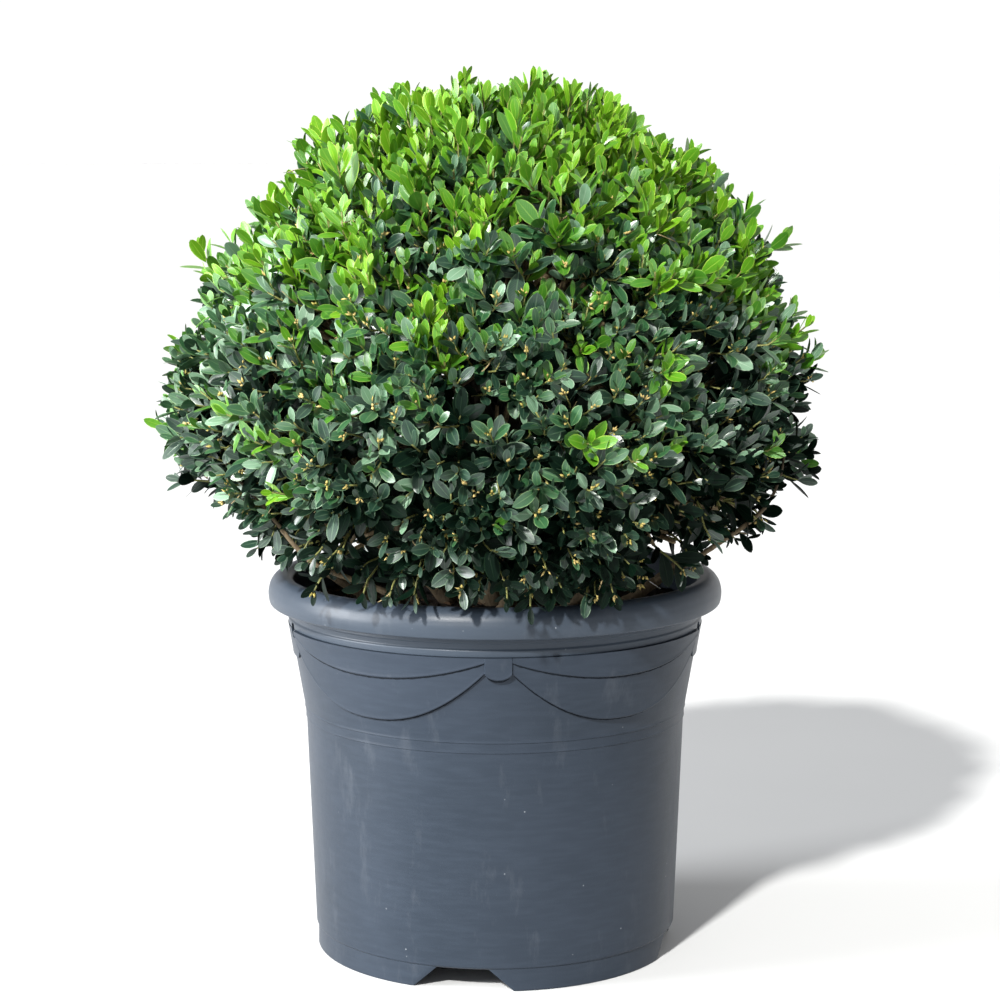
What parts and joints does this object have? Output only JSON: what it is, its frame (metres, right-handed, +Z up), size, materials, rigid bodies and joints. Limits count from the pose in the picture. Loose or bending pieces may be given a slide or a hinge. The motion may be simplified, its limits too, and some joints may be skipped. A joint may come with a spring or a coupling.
{
  "type": "box topiary ball in a nursery pot",
  "caption": "Clipped round box shrub with fine evergreen leaves on many thin stems, growing in a round ribless plastic pot with a rolled rim and moulded swags.",
  "frame": {"origin": "the centre of the pot's foot, on the plane it stands on, under the middle of the crown", "axes": "+Z up, the pot's axis; -Y is the front, where the middle tab of the moulded swags is; +X is right"},
  "size_m": [0.5738, 0.5738, 0.7716],
  "materials": {
    "pot_plastic": "satin",
    "compost": "matte",
    "bark": "matte",
    "foliage": "satin"
  },
  "bodies": {
    "root": {"pot_wall": "pot_plastic", "pot_rim": "pot_plastic", "foot_pad_1": "pot_plastic", "foot_pad_2": "pot_plastic", "foot_pad_3": "pot_plastic", "foot_pad_4": "pot_plastic", "tab_front": "pot_plastic", "tab_back": "pot_plastic", "handle_pad_right": "pot_plastic", "handle_pad_left": "pot_plastic", "swag_upper_front_right": "pot_plastic", "swag_upper_back_right": "pot_plastic", "swag_upper_back_left": "pot_plastic", "swag_upper_front_left": "pot_plastic", "swag_lower_front_right": "pot_plastic", "swag_lower_back_right": "pot_plastic", "swag_lower_back_left": "pot_plastic", "swag_lower_front_left": "pot_plastic", "compost": "compost", "stem": "bark", "outer_bough_1": "bark", "outer_bough_2": "bark", "outer_bough_3": "bark", "outer_bough_4": "bark", "outer_bough_5": "bark", "outer_bough_6": "bark", "inner_bough_1": "bark", "inner_bough_2": "bark", "inner_bough_3": "bark", "crown": "foliage"}
  },
  "joints": []
}
